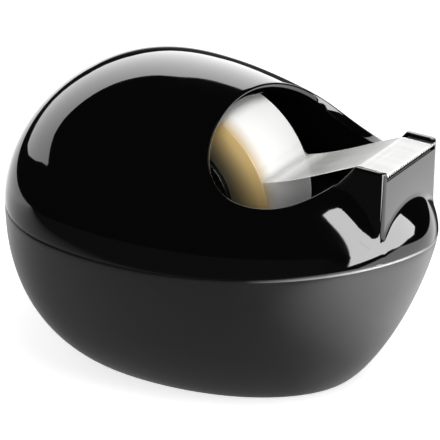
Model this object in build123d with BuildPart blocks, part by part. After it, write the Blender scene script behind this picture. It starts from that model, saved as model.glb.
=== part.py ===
from build123d import *
from math import cos, pi, radians, sin, sqrt
import os

# A pebble-shaped desk tape dispenser. Its glossy dome, with a beak moulded on its front, sits on a
# weighted bowl. The tape roll turns on a hub inside, and is reached through the mouth in the dome.
# X runs from the rear to the blade, Y across the tape, Z up. The origin is on the desk,
# under the middle of the body.

# ---- Driving dimensions, in millimetres ----

# Body, seen from above: an oval, widest behind its middle
BODY_LENGTH = 101.1
BODY_WIDTH = 82.3
WIDEST_X = -22.5
PLAN_REAR_POWER = 2.43
PLAN_FRONT_POWER = 1.8

# Parting line between dome and bowl: an arc that dips towards the desk
SEAM_LOW_X = 2.5
SEAM_LOW_Z = 36.3
SEAM_RADIUS = 252.0
SEAM_GAP = 0.15

# Dome, above the parting line
DOME_HEIGHT = 31.8
PEAK_X = -12.5
PEAK_REAR_POWER = 2.36
PEAK_FRONT_POWER = 1.74
DOME_WALL = 2.2
DOME_SKIRT = 9.0

# Bowl, below the parting line
FOOT_REAR_X = -9.5
FOOT_FRONT_X = 29.7
FOOT_WIDTH = 43.2
BOWL_REAR_POWER = 2.36
BOWL_FRONT_POWER = 1.3
BOWL_SIDE_POWER = 2.02
BOWL_WALL = 2.6
BOWL_FLOOR = 3.4

# Tongue of the dome inside the bowl
TONGUE_HEIGHT = 2.5
TONGUE_WALL = 1.2
TONGUE_GAP = 0.25
TONGUE_SINK = 0.5

# Foot pad in a recess of the bowl
PAD_THICK = 1.6
PAD_PROUD = 0.5
PAD_MARGIN = 2.0
PAD_GAP = 0.2

# Mouth, an opening cut across the body. Its front end is the beak's rear end
MOUTH_TOP_X = 1.2
MOUTH_TOP_Z = 68.6
MOUTH_TOP_SLOPE = -1.9
MOUTH_STEEP_X = 8.2
MOUTH_STEEP_Z = 57.7
MOUTH_LOW_X = 17.9
MOUTH_LOW_Z = 52.0
MOUTH_TURN_REACH = 6.0
MOUTH_TURN_DROP = 6.6
MOUTH_END_SLOPE = 1.3

# Beak: its lips stand this far outside the tape, and its front this far behind the body's front
BEAK_SETBACK = 5.55
BEAK_LENGTH = 7.4
BEAK_FOOT_LENGTH = 23.1
BEAK_FOOT_RISE = 4.0
BEAK_SIDE_GAP = 1.7
BEAK_TOP_Z = 61.0
BEAK_WALL = 1.5
BEAK_ROUND = 1.5
LIP_THICK = 1.2
LIP_ROUND = 0.5

# Tape
TAPE_WIDTH = 19.0
ROLL_RADIUS = 23.6
ROLL_X = -9.0
ROLL_Z = 40.7
CORE_BORE = 12.7
CORE_WALL = 1.3
TAIL_THICK = 0.2
TAIL_GAP = 0.3
PEEL_ANGLE = 24.0
PEEL_ROUND = 0.8
LANDING_ROUND = 4.0
TAIL_LAP_ANGLE = 5.0
TAIL_LANDING = 1.0
TAIL_SETBACK = 0.8

# Hub
HUB_FIT = 0.1
HUB_WALL = 1.6
FLANGE_THICK = 0.9
FLANGE_REACH = 1.1
WEB_THICK = 1.6
JOURNAL_RADIUS = 3.0
JOURNAL_LENGTH = 3.0
JOURNAL_FIT = 0.08
CAP_PLUG = 3.0
CAP_WALL = 1.2

# Roll frame
CHEEK_GAP = 0.8
CHEEK_THICK = 2.2
CHEEK_HEAD = 7.5
CHEEK_FOOT = 30.0
FRAME_LENGTH = 46.0
FRAME_BORDER = 4.0
FRAME_PLATE = 2.4
FRAME_ROUND = 5.0
FRAME_X = -1.0
SLOT_LEAN = 40.0
ROLL_CLEAR = 2.2

# Ballast
BALLAST_GAP = 0.4
CUSHION_THICK = 1.0
POST_RADIUS = 3.4
POST_HOLE = 1.2
POST_BOTTOM = 1.0
POST_SPACING_X = 36.0

# Frame screws
SCREW_GAP = 0.2
SCREW_LENGTH = 10.0
SCREW_SIDE_GAP = 0.7
SCREW_HEAD_RADIUS = 2.8
SCREW_HEAD_THICK = 1.8
SCREW_HEAD_ROUND = 0.6

# Blade holder and blade
HOLDER_DROP = 1.2
HOLDER_DEPTH = 3.2
HOLDER_GAP = 0.15
HOLDER_LEAN = 2.6
BLADE_THICK = 0.4
BLADE_LENGTH = 7.0
BLADE_OVERHANG = 0.3
BLADE_BEND = 1.2
BLADE_RISE = 0.3
TOOTH_PITCH = 0.8
TOOTH_DEPTH = 0.5
TOOTH_TIP = 0.04
TOOTH_SPARE = 0.1

# Making: depth to which joined shapes of one moulding run into each other, and how far a shape
# that is cut, or that cuts, runs past the cut
JOIN = 0.2
CUT_PAST = 1.0
LID_RISE = 20.0
BOWL_SPARE = 4.0

# ---- Sizes worked out from them ----

REAR_X = -BODY_LENGTH / 2
FRONT_X = BODY_LENGTH / 2
LID_Z = SEAM_LOW_Z + DOME_HEIGHT + LID_RISE
BEAK_FRONT_X = FRONT_X - BEAK_SETBACK
BEAK_REAR_X = BEAK_FRONT_X - BEAK_LENGTH
BEAK_FOOT_X = BEAK_FRONT_X - BEAK_FOOT_LENGTH
BEAK_FOOT_Z = SEAM_LOW_Z + BEAK_FOOT_RISE
BEAK_WIDTH = TAPE_WIDTH + 2 * (BEAK_SIDE_GAP + LIP_THICK)
HOLLOW_FRONT_X = BEAK_FRONT_X - BEAK_WALL
CORE_RADIUS = CORE_BORE + CORE_WALL
FLANGE_RADIUS = CORE_BORE + FLANGE_REACH
ROLL_BOTTOM_Z = ROLL_Z - ROLL_RADIUS
HUB_WIDTH = TAPE_WIDTH + 2 * HUB_FIT
FRAME_TOP_Z = ROLL_BOTTOM_Z - ROLL_CLEAR
FRAME_BOTTOM_Z = FRAME_TOP_Z - FRAME_PLATE
CHEEK_INNER_Y = HUB_WIDTH / 2 + FLANGE_THICK + CHEEK_GAP
POST_SPACING_Y = 2 * (CHEEK_INNER_Y + CHEEK_THICK + SCREW_SIDE_GAP + SCREW_HEAD_RADIUS)
FRAME_WIDTH = POST_SPACING_Y + 2 * FRAME_BORDER
BALLAST_BOTTOM_Z = BOWL_FLOOR + CUSHION_THICK
SCREW_POINTS = [(FRAME_X + i * POST_SPACING_X / 2, j * POST_SPACING_Y / 2) for i in (-1, 1) for j in (-1, 1)]
LIP_INNER_Y = BEAK_WIDTH / 2 - LIP_THICK
HOLDER_TOP_Z = BEAK_TOP_Z - HOLDER_DROP
HOLDER_BOTTOM_Z = HOLDER_TOP_Z - HOLDER_DEPTH
BLADE_FRONT_X = BEAK_FRONT_X + BLADE_OVERHANG
BLADE_REAR_X = BLADE_FRONT_X - BLADE_LENGTH
BLADE_TOP_Z = HOLDER_TOP_Z + BLADE_THICK


# ---- Shapes of the body ----


def rise(distance, power):
    """Height of a rounded profile of height 1: 1 at distance 0, and 0, standing upright, at distance 1."""
    return (1 - min(abs(distance), 1) ** power) ** (1 / power)


def plan_half_width(x):
    """Half of the body's width at the parting line."""
    if x < WIDEST_X:
        return BODY_WIDTH / 2 * rise((WIDEST_X - x) / (WIDEST_X - REAR_X), PLAN_REAR_POWER)
    return BODY_WIDTH / 2 * rise((x - WIDEST_X) / (FRONT_X - WIDEST_X), PLAN_FRONT_POWER)


def seam_z(x):
    """Height of the parting line."""
    return SEAM_LOW_Z + SEAM_RADIUS - sqrt(SEAM_RADIUS**2 - (x - SEAM_LOW_X) ** 2)


def dome_solid(inset):
    """The dome's outer shape, drawn in by inset, closed underneath by a shallow skirt.

    Every section across it is an ellipse, with its widest point on the parting line."""
    rear, front = REAR_X + inset, FRONT_X - inset
    scale = (front - rear) / BODY_LENGTH
    count = 20
    sections = [Vertex(rear, 0, seam_z(rear))]
    for i in range(1, count):
        x = -cos(pi * i / count) * (front - rear) / 2
        full_x = x / scale
        peak_reach = PEAK_X - REAR_X if full_x < PEAK_X else FRONT_X - PEAK_X
        peak_power = PEAK_REAR_POWER if full_x < PEAK_X else PEAK_FRONT_POWER
        half_width = plan_half_width(full_x) * (1 - 2 * inset / BODY_WIDTH)
        height = (DOME_HEIGHT - inset) * rise((full_x - PEAK_X) / peak_reach, peak_power)
        skirt = DOME_SKIRT * sin(pi * i / count)
        with BuildSketch(Plane.YZ.offset(x)) as section:
            with BuildLine():
                EllipticalCenterArc((0, seam_z(x)), half_width, height, start_angle=0, arc_size=180)
                EllipticalCenterArc((0, seam_z(x)), half_width, skirt, start_angle=180, arc_size=180)
            make_face()
        sections.append(section.sketch)
    sections.append(Vertex(front, 0, seam_z(front)))
    with BuildPart() as dome:
        loft(sections=sections)
    return dome.part


def bowl_point(angle, z, inset):
    """A point of the bowl's wall at height z, on the upright line that starts at this angle of the plan."""
    reach = FRONT_X - WIDEST_X if cos(angle) > 0 else WIDEST_X - REAR_X
    power = PLAN_FRONT_POWER if cos(angle) > 0 else PLAN_REAR_POWER
    seam_x = WIDEST_X + reach * cos(angle)
    share = (seam_x - REAR_X) / BODY_LENGTH
    low, high = 0.0, 1.0
    for _ in range(40):
        level = (low + high) / 2
        rear = FOOT_REAR_X + (REAR_X - FOOT_REAR_X) * rise(1 - level, BOWL_REAR_POWER) + inset
        front = FOOT_FRONT_X + (FRONT_X - FOOT_FRONT_X) * rise(1 - level, BOWL_FRONT_POWER) - inset
        x = rear + share * (front - rear)
        if level * seam_z(x) < z:
            low = level
        else:
            high = level
    foot_half = FOOT_WIDTH / 2
    half_width = foot_half + (BODY_WIDTH / 2 - foot_half) * rise(1 - level, BOWL_SIDE_POWER) - inset
    side = 1 if sin(angle) > 0 else -1
    return (x, side * half_width * rise(cos(angle), power))


def bowl_outline(z, inset):
    """The bowl's outline at height z, drawn in by inset, as points in order."""
    count = 36
    return [bowl_point(2 * pi * (k + 0.5) / count, z, inset) for k in range(count)]


def bowl_solid(inset, bottom_z):
    """The bowl's outer shape, drawn in by inset, from bottom_z to above the parting line.

    Its levels lie closer together near the floor, where the wall turns in most."""
    top_z = seam_z(REAR_X) + BOWL_SPARE
    count = 14
    with BuildPart() as bowl:
        for i in range(count):
            z = bottom_z + (top_z - bottom_z) * (i / (count - 1)) ** 1.6
            with BuildSketch(Plane.XY.offset(z)):
                with BuildLine():
                    Spline(bowl_outline(z, inset), periodic=True)
                make_face()
        loft()
    return bowl.part


def above_seam(lift):
    """Everything above the parting line, raised by lift."""
    reach = BODY_LENGTH
    with BuildPart() as space:
        with BuildSketch(Plane.XZ) as outline:
            with BuildLine():
                left = (-reach, seam_z(-reach) + lift)
                right = (reach, seam_z(reach) + lift)
                ThreePointArc(left, (SEAM_LOW_X, SEAM_LOW_Z + lift), right)
                Polyline(right, (reach, LID_Z), (-reach, LID_Z), left)
            make_face()
        extrude(amount=BODY_WIDTH, both=True)
    return space.part


def hole_pattern(radius, bottom_z, top_z):
    """Upright cylinders at the four screws, as one group."""
    with BuildPart() as group:
        with BuildSketch(Plane.XY.offset(bottom_z)):
            with Locations(*SCREW_POINTS):
                Circle(radius)
        extrude(amount=top_z - bottom_z)
    return group.part


OVER_DOME = above_seam(SEAM_GAP / 2)
OVER_BOWL = above_seam(-SEAM_GAP / 2)
OVER_TONGUE = above_seam(-TONGUE_HEIGHT)
OVER_BLEND = above_seam(TONGUE_HEIGHT)
DOME_OUTSIDE = dome_solid(0)
DOME_INSIDE = dome_solid(DOME_WALL)
BOWL_OUTSIDE = bowl_solid(0, 0)
BOWL_INSIDE = bowl_solid(BOWL_WALL, BOWL_FLOOR)

# ---- Upper shell: dome, beak and locating tongue ----

with BuildPart() as mouth_space:
    with BuildSketch(Plane.XZ):
        with BuildLine():
            rim = Spline(
                (MOUTH_TOP_X, MOUTH_TOP_Z),
                (MOUTH_STEEP_X, MOUTH_STEEP_Z),
                (MOUTH_LOW_X, MOUTH_LOW_Z),
                (BEAK_REAR_X - MOUTH_TURN_REACH, BEAK_TOP_Z - MOUTH_TURN_DROP),
                (BEAK_REAR_X, BEAK_TOP_Z),
                tangents=[(1, MOUTH_TOP_SLOPE), (1, MOUTH_END_SLOPE)],
            )
            Polyline(rim @ 1, (BEAK_REAR_X, LID_Z), (MOUTH_TOP_X, LID_Z), rim @ 0)
        make_face()
    extrude(amount=BODY_WIDTH, both=True)

with BuildPart() as beak_block:
    with BuildSketch(Plane.XY.offset(BEAK_FOOT_Z)):
        with Locations(((BEAK_FOOT_X + BEAK_FRONT_X) / 2, 0)):
            Rectangle(BEAK_FRONT_X - BEAK_FOOT_X, BEAK_WIDTH)
    extrude(amount=BEAK_TOP_Z - BEAK_FOOT_Z)
    fillet(beak_block.edges().filter_by(Axis.Z), BEAK_ROUND)
    add(mouth_space.part, mode=Mode.SUBTRACT)
    fillet(beak_block.faces().sort_by(Axis.Z)[-1].edges(), LIP_ROUND)

with BuildPart() as tongue:
    add(bowl_solid(BOWL_WALL + TONGUE_GAP, BOWL_FLOOR))
    add(OVER_TONGUE, mode=Mode.INTERSECT)
    add(OVER_DOME, mode=Mode.SUBTRACT)
    add(bowl_solid(BOWL_WALL + TONGUE_GAP + TONGUE_WALL, BOWL_FLOOR), mode=Mode.SUBTRACT)

with BuildPart() as tongue_root:
    add(dome_solid(DOME_WALL - TONGUE_SINK))
    add(OVER_DOME, mode=Mode.INTERSECT)
    add(OVER_BLEND, mode=Mode.SUBTRACT)
    add(bowl_solid(BOWL_WALL + TONGUE_GAP + TONGUE_WALL, BOWL_FLOOR), mode=Mode.SUBTRACT)

with BuildPart() as upper_shell:
    add(DOME_OUTSIDE)
    add(mouth_space.part, mode=Mode.SUBTRACT)
    add(beak_block.part)
    add(DOME_INSIDE, mode=Mode.SUBTRACT)
    add(OVER_DOME, mode=Mode.INTERSECT)
    # hollow of the beak, open to the inside of the dome
    with BuildSketch(Plane.XY.offset(BEAK_FOOT_Z)):
        with Locations(((MOUTH_LOW_X + HOLLOW_FRONT_X) / 2, 0)):
            Rectangle(HOLLOW_FRONT_X - MOUTH_LOW_X, BEAK_WIDTH - 2 * BEAK_WALL)
    extrude(amount=HOLDER_BOTTOM_Z - BEAK_WALL - BEAK_FOOT_Z, mode=Mode.SUBTRACT)
    # pocket for the blade holder between the lips, open at the rear and on top
    with BuildSketch(Plane.XY.offset(HOLDER_BOTTOM_Z)):
        with Locations(((MOUTH_LOW_X + HOLLOW_FRONT_X) / 2, 0)):
            Rectangle(HOLLOW_FRONT_X - MOUTH_LOW_X, 2 * LIP_INNER_Y)
    extrude(amount=HOLDER_DEPTH + HOLDER_DROP + CUT_PAST, mode=Mode.SUBTRACT)
    # between the lips the beak's front wall stops at the holder's top
    with BuildSketch(Plane.XY.offset(HOLDER_TOP_Z)):
        with Locations((BEAK_FRONT_X, 0)):
            Rectangle(4 * BEAK_WALL, 2 * LIP_INNER_Y)
    extrude(amount=HOLDER_DROP + CUT_PAST, mode=Mode.SUBTRACT)
    add(tongue_root.part)
    add(tongue.part)
upper_shell.part.label = "upper_shell"

# ---- Lower shell: bowl with four screw posts ----

with BuildPart() as lower_shell:
    add(BOWL_OUTSIDE)
    add(BOWL_INSIDE, mode=Mode.SUBTRACT)
    add(OVER_BOWL, mode=Mode.SUBTRACT)
    add(hole_pattern(POST_RADIUS, BOWL_FLOOR - JOIN, FRAME_BOTTOM_Z))
    add(hole_pattern(POST_HOLE, BOWL_FLOOR + POST_BOTTOM, FRAME_BOTTOM_Z), mode=Mode.SUBTRACT)
    split(bisect_by=Plane.XY.offset(PAD_PROUD))
    # recess for the foot pad
    with BuildSketch(Plane.XY.offset(PAD_THICK)):
        with BuildLine():
            Spline(bowl_outline(0, PAD_MARGIN), periodic=True)
        make_face()
    extrude(amount=-PAD_THICK, mode=Mode.SUBTRACT)
lower_shell.part.label = "lower_shell"

with BuildPart() as foot_pad:
    with BuildSketch():
        with BuildLine():
            Spline(bowl_outline(0, PAD_MARGIN + PAD_GAP), periodic=True)
        make_face()
    extrude(amount=PAD_THICK)
foot_pad.part.label = "foot_pad"

# ---- Ballast in the bowl ----

BALLAST_SPACE = bowl_solid(BOWL_WALL + BALLAST_GAP, BOWL_FLOOR)  # also bounds the roll frame's plate

with BuildPart() as ballast_cushion:
    add(BALLAST_SPACE)
    split(bisect_by=Plane.XY.offset(BALLAST_BOTTOM_Z), keep=Keep.BOTTOM)
    add(hole_pattern(POST_RADIUS + BALLAST_GAP, BOWL_FLOOR - CUT_PAST, FRAME_BOTTOM_Z), mode=Mode.SUBTRACT)
ballast_cushion.part.label = "ballast_cushion"

with BuildPart() as ballast_block:
    add(BALLAST_SPACE)
    split(bisect_by=Plane.XY.offset(BALLAST_BOTTOM_Z))
    split(bisect_by=Plane.XY.offset(FRAME_BOTTOM_Z), keep=Keep.BOTTOM)
    add(hole_pattern(POST_RADIUS + BALLAST_GAP, BOWL_FLOOR, FRAME_TOP_Z), mode=Mode.SUBTRACT)
ballast_block.part.label = "ballast_block"

# ---- Roll frame: a plate with two slotted cheeks that carry the hub ----

with BuildPart() as roll_frame:
    with BuildSketch(Plane.XY.offset(FRAME_BOTTOM_Z)):
        with Locations((FRAME_X, 0)):
            RectangleRounded(FRAME_LENGTH, FRAME_WIDTH, FRAME_ROUND)
    extrude(amount=FRAME_PLATE)
    add(BALLAST_SPACE, mode=Mode.INTERSECT)
    for side in (-1, 1):
        near_y = CHEEK_INNER_Y if side > 0 else -CHEEK_INNER_Y - CHEEK_THICK
        with BuildSketch(Plane.XZ.offset(-near_y)):
            with BuildLine():
                foot_rear = (ROLL_X - CHEEK_FOOT / 2, FRAME_TOP_Z - JOIN)
                foot_front = (ROLL_X + CHEEK_FOOT / 2, FRAME_TOP_Z - JOIN)
                head_rear = (ROLL_X - CHEEK_HEAD, ROLL_Z)
                head_front = (ROLL_X + CHEEK_HEAD, ROLL_Z)
                ThreePointArc(head_front, (ROLL_X, ROLL_Z + CHEEK_HEAD), head_rear)
                Polyline(head_rear, foot_rear, foot_front, head_front)
            make_face()
        extrude(amount=-CHEEK_THICK)
    # slots for the hub's journals, open towards the mouth
    with BuildSketch(Plane.XZ):
        slot_radius = JOURNAL_RADIUS + JOURNAL_FIT
        with Locations((ROLL_X, ROLL_Z)):
            Circle(slot_radius)
        reach = CHEEK_HEAD + JOURNAL_RADIUS + CUT_PAST
        lean = radians(SLOT_LEAN)
        slot_middle = (ROLL_X + sin(lean) * reach / 2, ROLL_Z + cos(lean) * reach / 2)
        with Locations(Location(slot_middle + (0,), (0, 0, -SLOT_LEAN))):
            Rectangle(2 * slot_radius, reach)
    extrude(amount=CHEEK_INNER_Y + CHEEK_THICK + CUT_PAST, both=True, mode=Mode.SUBTRACT)
    add(hole_pattern(POST_HOLE + SCREW_GAP, FRAME_BOTTOM_Z, FRAME_TOP_Z), mode=Mode.SUBTRACT)
roll_frame.part.label = "roll_frame"

with BuildPart() as frame_screws:
    add(hole_pattern(SCREW_HEAD_RADIUS, FRAME_TOP_Z, FRAME_TOP_Z + SCREW_HEAD_THICK))
    fillet(frame_screws.faces().filter_by(Plane.XY).group_by(Axis.Z)[-1].edges(), SCREW_HEAD_ROUND)
    add(hole_pattern(POST_HOLE, FRAME_TOP_Z - SCREW_LENGTH, FRAME_TOP_Z))
frame_screws.part.label = "frame_screws"

# ---- Hub, cap, core and tape, which turn together ----

HUB_PLANE = Plane(origin=(ROLL_X, 0, ROLL_Z), x_dir=(1, 0, 0), z_dir=(0, -1, 0))
HUB_RADIUS = CORE_BORE - HUB_FIT

with BuildPart() as hub:
    with BuildSketch(HUB_PLANE.offset(-HUB_WIDTH / 2)):
        Circle(HUB_RADIUS)
    extrude(amount=HUB_WIDTH)
    with BuildSketch(HUB_PLANE.offset(-HUB_WIDTH / 2 - FLANGE_THICK)):
        Circle(FLANGE_RADIUS)
    extrude(amount=FLANGE_THICK)
    with BuildSketch(HUB_PLANE.offset(-HUB_WIDTH / 2 + WEB_THICK)):
        Circle(HUB_RADIUS - HUB_WALL)
    extrude(amount=HUB_WIDTH, mode=Mode.SUBTRACT)
    with BuildSketch(HUB_PLANE.offset(-HUB_WIDTH / 2 - FLANGE_THICK - JOURNAL_LENGTH)):
        Circle(JOURNAL_RADIUS)
    extrude(amount=JOURNAL_LENGTH + JOIN)
hub.part.label = "hub"

with BuildPart() as hub_cap:
    with BuildSketch(HUB_PLANE.offset(HUB_WIDTH / 2)):
        Circle(FLANGE_RADIUS)
    extrude(amount=FLANGE_THICK)
    with BuildSketch(HUB_PLANE.offset(HUB_WIDTH / 2 - CAP_PLUG)):
        Circle(HUB_RADIUS - HUB_WALL - HUB_FIT)
        Circle(HUB_RADIUS - HUB_WALL - HUB_FIT - CAP_WALL, mode=Mode.SUBTRACT)
    extrude(amount=CAP_PLUG + JOIN)
    with BuildSketch(HUB_PLANE.offset(HUB_WIDTH / 2 + FLANGE_THICK - JOIN)):
        Circle(JOURNAL_RADIUS)
    extrude(amount=JOURNAL_LENGTH + JOIN)
hub_cap.part.label = "hub_cap"

with BuildPart() as roll_core:
    with BuildSketch(HUB_PLANE.offset(-TAPE_WIDTH / 2)):
        Circle(CORE_RADIUS)
        Circle(CORE_BORE, mode=Mode.SUBTRACT)
    extrude(amount=TAPE_WIDTH)
roll_core.part.label = "roll_core"

with BuildPart() as tape_roll:
    with BuildSketch(HUB_PLANE.offset(-TAPE_WIDTH / 2)):
        Circle(ROLL_RADIUS)
        Circle(CORE_RADIUS, mode=Mode.SUBTRACT)
    extrude(amount=TAPE_WIDTH)
tape_roll.part.label = "tape_roll"

# ---- Free end of the tape, from the roll to the blade ----

peel = radians(PEEL_ANGLE)
wrap = radians(PEEL_ANGLE + TAIL_LAP_ANGLE)
tail_radius = ROLL_RADIUS + TAIL_GAP + TAIL_THICK / 2
tail_start = (ROLL_X + tail_radius * cos(wrap), ROLL_Z + tail_radius * sin(wrap))
peel_point = (ROLL_X + tail_radius * cos(peel), ROLL_Z + tail_radius * sin(peel))
tail_rest_z = BLADE_TOP_Z + TAIL_THICK
landing = (BLADE_REAR_X - TAIL_LANDING, tail_rest_z)
tail_end = (BLADE_FRONT_X - TAIL_SETBACK, tail_rest_z)

with BuildPart() as tape_tail:
    with BuildSketch(Plane.XZ):
        with BuildLine():
            FilletPolyline(tail_start, peel_point, landing, tail_end, radius=[PEEL_ROUND, LANDING_ROUND])
            offset(amount=TAIL_THICK / 2, kind=Kind.INTERSECTION, side=Side.BOTH)
        make_face()
    extrude(amount=TAPE_WIDTH / 2, both=True)
tape_tail.part.label = "tape_tail"

# ---- Blade holder and blade ----

holder_rear_x = BEAK_REAR_X + HOLDER_GAP
holder_front_x = HOLLOW_FRONT_X - HOLDER_GAP
holder_half_width = LIP_INNER_Y - HOLDER_GAP

with BuildPart() as blade_holder:
    with BuildSketch(Plane.XZ):
        with BuildLine():
            top_rear = (holder_rear_x, HOLDER_TOP_Z)
            bottom_rear = (holder_rear_x - HOLDER_LEAN, HOLDER_BOTTOM_Z)
            bottom_front = (holder_front_x, HOLDER_BOTTOM_Z)
            top_front = (holder_front_x, HOLDER_TOP_Z)
            Polyline(top_rear, bottom_rear, bottom_front, top_front, close=True)
        make_face()
    extrude(amount=holder_half_width, both=True)
blade_holder.part.label = "blade_holder"

with BuildPart() as cutter_blade:
    with BuildSketch(Plane.XZ):
        with BuildLine():
            back = (BLADE_REAR_X, HOLDER_TOP_Z)
            bend = (BLADE_FRONT_X - BLADE_BEND, HOLDER_TOP_Z)
            front = (BLADE_FRONT_X, HOLDER_TOP_Z + BLADE_RISE)
            tip = (BLADE_FRONT_X, BLADE_TOP_Z + BLADE_RISE)
            bend_top = (BLADE_FRONT_X - BLADE_BEND, BLADE_TOP_Z)
            back_top = (BLADE_REAR_X, BLADE_TOP_Z)
            Polyline(back, bend, front, tip, bend_top, back_top, close=True)
        make_face()
    extrude(amount=holder_half_width, both=True)
    # notches between the teeth
    tooth_count = int(2 * holder_half_width / TOOTH_PITCH)
    with BuildSketch(Plane.XY.offset(HOLDER_TOP_Z)):
        for k in range(tooth_count):
            y = (k - (tooth_count - 1) / 2) * TOOTH_PITCH
            with BuildLine():
                notch_x = BLADE_FRONT_X + TOOTH_SPARE
                left = (notch_x, y - (TOOTH_PITCH - TOOTH_TIP) / 2)
                root = (BLADE_FRONT_X - TOOTH_DEPTH, y)
                right = (notch_x, y + (TOOTH_PITCH - TOOTH_TIP) / 2)
                Polyline(left, root, right, close=True)
            make_face()
    extrude(amount=BLADE_THICK + BLADE_RISE, mode=Mode.SUBTRACT)
cutter_blade.part.label = "cutter_blade"

finished = [
    upper_shell,
    lower_shell,
    foot_pad,
    ballast_cushion,
    ballast_block,
    roll_frame,
    frame_screws,
    hub,
    hub_cap,
    roll_core,
    tape_roll,
    tape_tail,
    blade_holder,
    cutter_blade,
]

os.makedirs("parts", exist_ok=True)
for piece in finished:
    export_step(piece.part, f"parts/{piece.part.label}.step")
    box = piece.part.bounding_box()
    print(piece.part.label, len(piece.part.solids()), round(piece.part.volume, 1), box.min, box.max)
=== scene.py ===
"""Desk tape dispenser: the finished look of every piece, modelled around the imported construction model.

X runs from the rear to the blade, Y across the tape and Z up, in metres, with the origin on the desk.
"""

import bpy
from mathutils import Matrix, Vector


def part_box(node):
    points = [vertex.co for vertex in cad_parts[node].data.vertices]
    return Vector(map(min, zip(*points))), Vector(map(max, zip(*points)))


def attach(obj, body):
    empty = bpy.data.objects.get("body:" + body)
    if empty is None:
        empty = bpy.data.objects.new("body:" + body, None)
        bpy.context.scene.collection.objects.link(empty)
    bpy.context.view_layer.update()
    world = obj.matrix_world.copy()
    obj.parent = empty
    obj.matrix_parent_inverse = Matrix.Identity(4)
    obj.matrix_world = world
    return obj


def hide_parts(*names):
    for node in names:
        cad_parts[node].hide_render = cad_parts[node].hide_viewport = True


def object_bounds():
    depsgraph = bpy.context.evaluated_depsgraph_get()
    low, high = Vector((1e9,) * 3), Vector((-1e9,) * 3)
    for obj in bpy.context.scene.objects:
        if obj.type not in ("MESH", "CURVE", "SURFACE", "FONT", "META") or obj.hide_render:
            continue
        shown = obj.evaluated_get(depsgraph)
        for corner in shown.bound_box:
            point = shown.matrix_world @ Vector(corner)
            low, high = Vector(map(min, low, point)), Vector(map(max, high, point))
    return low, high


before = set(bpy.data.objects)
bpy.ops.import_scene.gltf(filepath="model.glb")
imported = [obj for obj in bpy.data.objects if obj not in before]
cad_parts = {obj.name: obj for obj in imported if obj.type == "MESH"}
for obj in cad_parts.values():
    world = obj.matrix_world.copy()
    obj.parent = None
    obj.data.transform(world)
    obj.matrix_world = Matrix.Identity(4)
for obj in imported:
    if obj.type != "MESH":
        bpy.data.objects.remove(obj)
CAD_BOUNDS = [list(corner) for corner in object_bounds()]

from functools import partial
from math import cos, pi, radians, sin, sqrt

import bmesh
import bpy
from bpy.props import FloatProperty, FloatVectorProperty, IntProperty, PointerProperty
from mathutils import Vector
from mathutils.geometry import interpolate_bezier

bl_info = {
    "name": "Tape Dispenser",
    "version": (1, 0, 0),
    "blender": (4, 5, 0),
    "location": "3D View > Sidebar > Dispenser",
    "description": "Builds a pebble-shaped desk tape dispenser piece by piece",
    "category": "Object",
}

MM = 0.001


def middle_and_size(node):
    """Middle and size of a construction node's box."""
    low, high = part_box(node)
    return (low + high) / 2, high - low


def linear(code):
    """Linear red, green and blue of an sRGB hex colour."""
    channels = [int(code[i:i + 2], 16) / 255 for i in (1, 3, 5)]
    return tuple(c / 12.92 if c <= 0.04045 else ((c + 0.055) / 1.055) ** 2.4 for c in channels)


def length(name, description, millimetres):
    """A length property of the dispenser."""
    return FloatProperty(
        name=name,
        description=description,
        default=millimetres * MM,
        precision=5,
        unit="LENGTH",
        subtype="DISTANCE",
    )


def colour(name, description, code):
    """A colour property of the dispenser."""
    return FloatVectorProperty(
        name=name,
        description=description,
        default=linear(code),
        min=0,
        max=1,
        size=3,
        subtype="COLOR",
    )


# ---- Sizes and colours that can be changed ----


class DispenserBody(bpy.types.PropertyGroup):
    """Sizes of the two shells"""

    widest_x: length("Widest place", "Where the body is widest, seen from above", -22.5)
    seam_low_x: length("Seam's low place", "Where the parting line comes nearest to the desk", 2.5)
    seam_low_z: length("Seam height", "Height of the parting line at its lowest place", 36.3)
    seam_radius: length("Seam radius", "Radius of the parting line's dip, seen from the side", 252.0)
    seam_gap: length("Seam gap", "Gap between the shells", 0.15)
    seam_round: length("Seam rounding", "Rounding of the dome's edge at the parting line", 0.28)
    dome_height: length("Dome height", "Height of the dome above the parting line", 31.8)
    peak_x: length("Peak", "Where the dome is highest", -12.5)
    dome_wall: length("Dome wall", "Thickness of the dome", 2.2)
    rim_round: length("Rim rounding", "Rounding of the mouth's outer edge", 0.5)
    rim_lift: length("Rim lift", "How far the rounded rim stands over the straight cut", 0.5)
    foot_rear_x: length("Foot rear", "Rear end of the bowl's foot", -9.5)
    foot_front_x: length("Foot front", "Front end of the bowl's foot", 29.7)
    foot_width: length("Foot width", "Width of the bowl's foot", 43.2)
    foot_z: length("Foot height", "Height of the bowl's underside", 0.5)
    bowl_wall: length("Bowl wall", "Thickness of the bowl", 2.6)
    pad_margin: length("Pad margin", "Width of the bowl's ring around the foot pad", 2.0)
    pad_recess: length("Pad recess", "Depth of the recess for the foot pad", 1.1)
    mouth_x: length("Mouth middle", "Middle of the mouth, seen from above", 17.0)


class DispenserBeak(bpy.types.PropertyGroup):
    """Sizes of the beak with the cutter"""

    rear_x: length("Rear", "Rear end of the lips' level top", 37.6)
    front_x: length("Front", "Front face of the beak", 45.0)
    width: length("Width", "Width over both lips", 24.8)
    top_z: length("Lip height", "Height of the lips", 61.0)
    wall: length("Wall", "Thickness of the lips and the front wall", 1.2)
    corner: length("Corner", "Radius of the upright front corners", 1.5)
    lip_round: length("Lip rounding", "Rounding of the lips' edges", 0.4)
    floor_z: length("Pocket floor", "Height of the pocket under the blade holder", 56.6)
    sink: length("Root", "Depth to which the beak's walls reach into the dome's wall", 0.8)
    flare: length("Flare", "How far the lips' feet run out onto the dome", 3.2)
    flare_height: length("Flare height", "Where on the lips the flare starts, over the dome", 4.2)


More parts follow.
